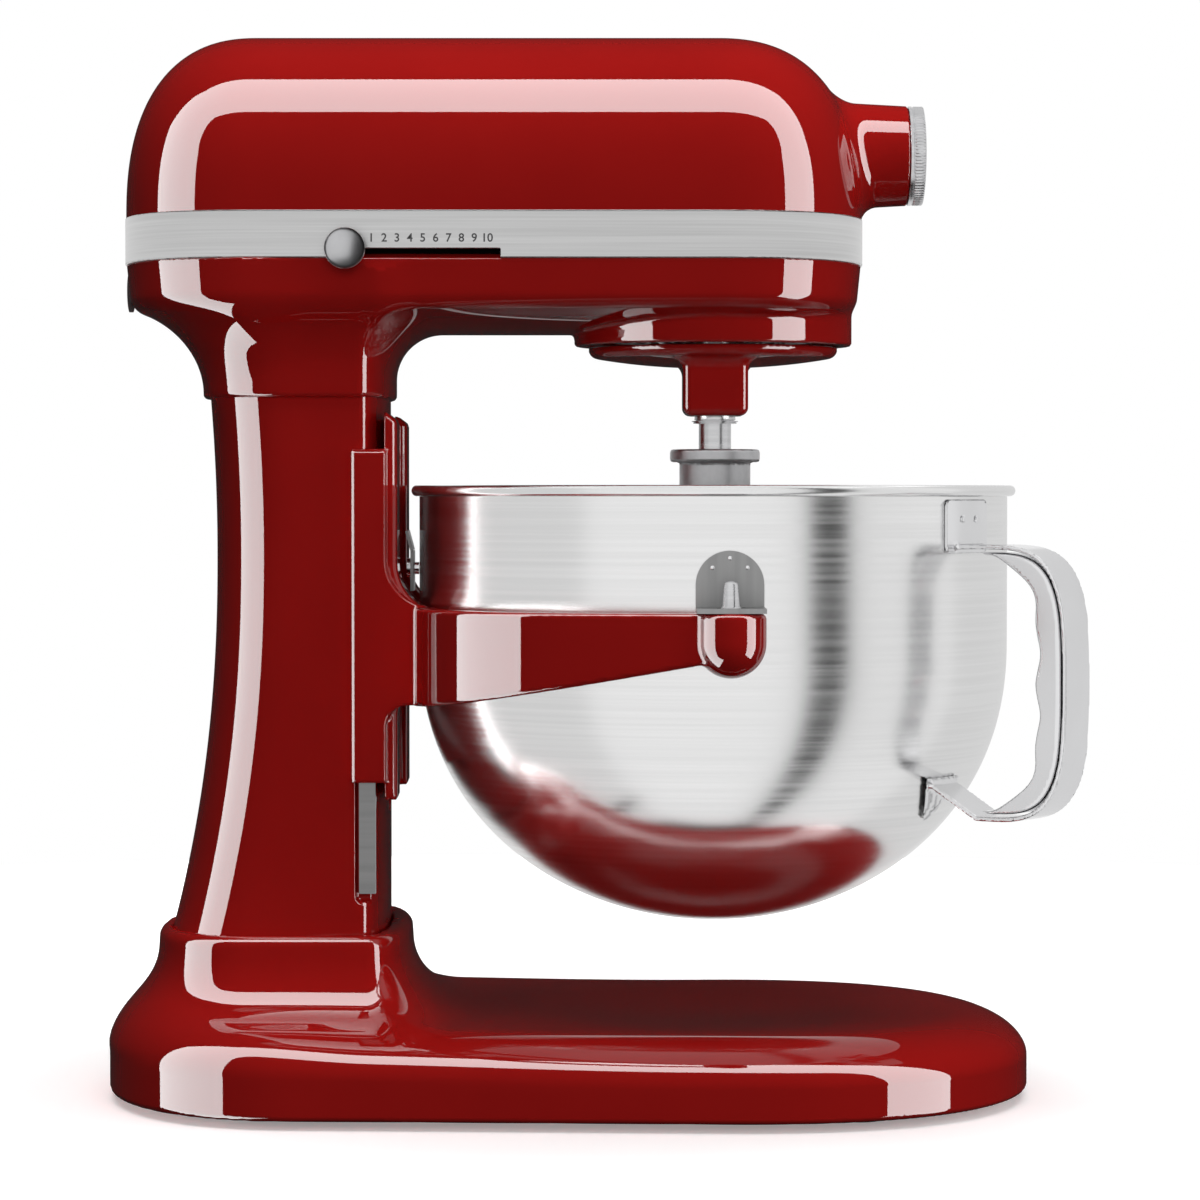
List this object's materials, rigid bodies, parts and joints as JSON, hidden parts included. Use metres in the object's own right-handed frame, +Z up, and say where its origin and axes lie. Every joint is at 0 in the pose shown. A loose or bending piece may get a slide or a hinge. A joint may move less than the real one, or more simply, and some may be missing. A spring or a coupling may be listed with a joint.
{
  "type": "stand mixer",
  "caption": "Bowl-lift kitchen stand mixer: enamelled head and stand, planetary beater drive, attachment hub, and a steel bowl with a handle on a lifting yoke.",
  "frame": {"origin": "on the floor, below the centre of the overall box", "axes": "+X to the front, where the attachment hub is; +Y to the side of the lift lever; +Z up"},
  "size_m": [0.38, 0.287, 0.419],
  "materials": {
    "red_enamel": "high gloss",
    "brushed_trim": "brushed lengthwise",
    "polished_steel": "polished",
    "bowl_steel": "fine circular brushing",
    "cast_aluminium": "satin",
    "gear_steel": "machined",
    "shaft_steel": "ground",
    "bronze": "machined",
    "copper": "wound wire",
    "black_rubber": "matt",
    "black_plastic": "matt",
    "laminated_iron": "laminated",
    "circuit_board": "satin",
    "screw_steel": "zinc plated"
  },
  "bodies": {
    "stand": {"base": "red_enamel", "feet": "black_rubber", "base_screws": "screw_steel", "column": "red_enamel", "guide_rails": "polished_steel", "neck_screws": "screw_steel", "head_lower": "red_enamel", "head_upper": "red_enamel", "trim_band": "brushed_trim", "slot_liner": "black_rubber", "head_screws": "screw_steel", "hub_bushing": "bronze", "motor_field": "laminated_iron", "field_coils": "copper", "front_bracket": "cast_aluminium", "rear_bracket": "cast_aluminium", "brush_holders": "black_plastic", "carbon_brushes": "black_plastic", "speed_board": "circuit_board", "gear_plate": "cast_aluminium", "ring_gear": "gear_steel", "centre_bearing": "bronze", "idler_bush": "bronze", "cord_gland": "black_plastic", "lever_bush": "bronze"},
    "planetary": {"planetary": "red_enamel", "centre_shaft": "shaft_steel", "centre_gear": "gear_steel", "bevel_gear": "gear_steel"},
    "beater": {"beater_shaft": "shaft_steel", "planet_pinion": "gear_steel", "beater_pin": "shaft_steel", "shaft_washer": "shaft_steel", "flat_beater": "cast_aluminium"},
    "idler": {"idler_shaft": "shaft_steel", "idler_pinion": "gear_steel", "worm_wheel": "bronze"},
    "armature": {"armature_shaft": "shaft_steel", "armature_core": "laminated_iron", "commutator": "copper", "worm": "gear_steel", "cooling_fan": "black_plastic"},
    "hub_drive": {"hub_shaft": "shaft_steel", "hub_pinion": "gear_steel"},
    "hub_cover": {"hub_cap": "brushed_trim"},
    "attachment_screw": {"attachment_knob": "black_plastic"},
    "lift_handle": {"lift_crank": "shaft_steel", "lift_lever": "polished_steel", "lever_grip": "black_plastic"},
    "carriage": {"bowl_support": "red_enamel", "locating_pins": "polished_steel", "lift_bracket": "cast_aluminium", "bowl": "bowl_steel", "bowl_brackets": "polished_steel", "bowl_handle": "polished_steel", "latch_spring": "polished_steel", "latch_rivet": "polished_steel"},
    "speed_control": {"speed_knob": "brushed_trim", "speed_lever": "gear_steel"}
  },
  "joints": [
    {"name": "planetary_spin", "type": "hinge", "parent": "stand", "child": "planetary", "pos_m": [0.05, 0, 0.29], "axis": [0, 0, 1], "continuous": true},
    {"name": "beater_spin", "type": "hinge", "parent": "planetary", "child": "beater", "pos_m": [0.05, -0.029, 0.29], "axis": [0, 0, 1], "continuous": true},
    {"name": "idler_spin", "type": "hinge", "parent": "stand", "child": "idler", "pos_m": [0.00035, 0.028, 0.34], "axis": [0, 0, 1], "continuous": true},
    {"name": "armature_spin", "type": "hinge", "parent": "stand", "child": "armature", "pos_m": [0, 0, 0.36], "axis": [1, 0, 0], "continuous": true},
    {"name": "hub_spin", "type": "hinge", "parent": "stand", "child": "hub_drive", "pos_m": [0.08, 0, 0.373], "axis": [1, 0, 0], "continuous": true},
    {"name": "hub_cap_pull", "type": "slide", "parent": "stand", "child": "hub_cover", "axis": [1, 0, 0], "range_m": [0, 0.08]},
    {"name": "attachment_knob_turn", "type": "hinge", "parent": "stand", "child": "attachment_screw", "pos_m": [0.116, 0.03, 0.373], "axis": [0, 1, 0], "range_deg": [0, 720]},
    {"name": "lift_lever_turn", "type": "hinge", "parent": "stand", "child": "lift_handle", "pos_m": [-0.102, 0.05, 0.159], "axis": [0, 1, 0], "range_deg": [-90, 0]},
    {"name": "bowl_lift", "type": "slide", "parent": "stand", "child": "carriage", "axis": [0, 0, 1], "range_m": [-0.0332, 0]},
    {"name": "speed_slide", "type": "slide", "parent": "stand", "child": "speed_control", "axis": [1, 0, 0], "range_m": [0, 0.054]}
  ],
  "couplings": [
    {"joint": "beater_spin", "follows": "planetary_spin", "ratio": -3.2308},
    {"joint": "idler_spin", "follows": "planetary_spin", "ratio": -1.7143},
    {"joint": "armature_spin", "follows": "planetary_spin", "ratio": 41.143},
    {"joint": "hub_spin", "follows": "planetary_spin", "ratio": 1},
    {"joint": "lift_lever_turn", "follows": "bowl_lift", "rad_per_m": 47.313}
  ]
}
